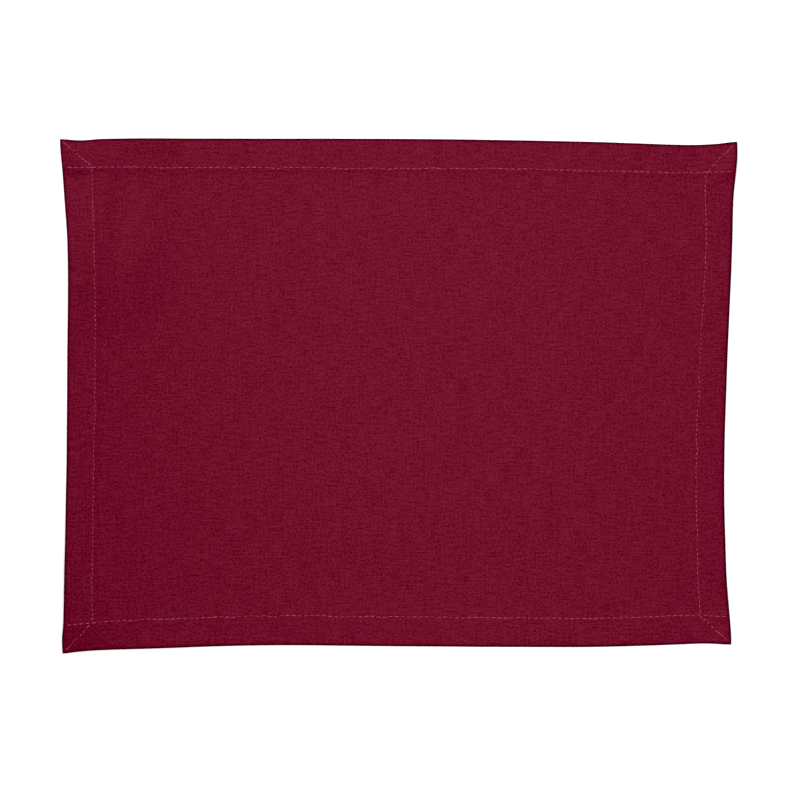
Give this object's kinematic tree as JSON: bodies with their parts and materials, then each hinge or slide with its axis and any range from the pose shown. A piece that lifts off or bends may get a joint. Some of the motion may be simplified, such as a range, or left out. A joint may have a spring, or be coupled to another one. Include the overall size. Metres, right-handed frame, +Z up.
{
  "type": "fabric placemat",
  "caption": "Flat rectangular woven placemat with a topstitched double hem, mitred corners and slightly uneven edges.",
  "frame": {"origin": "under the middle of the mat, on the surface that it lies on", "axes": "+X along the mat's long side, +Y along its short side, +Z up from the surface to the mat's face"},
  "size_m": [0.4684, 0.3562, 0.0074],
  "materials": {
    "cloth": "matt plain weave",
    "thread": "slightly shiny twisted thread"
  },
  "bodies": {
    "root": {"mat_cloth": "cloth"}
  },
  "joints": []
}
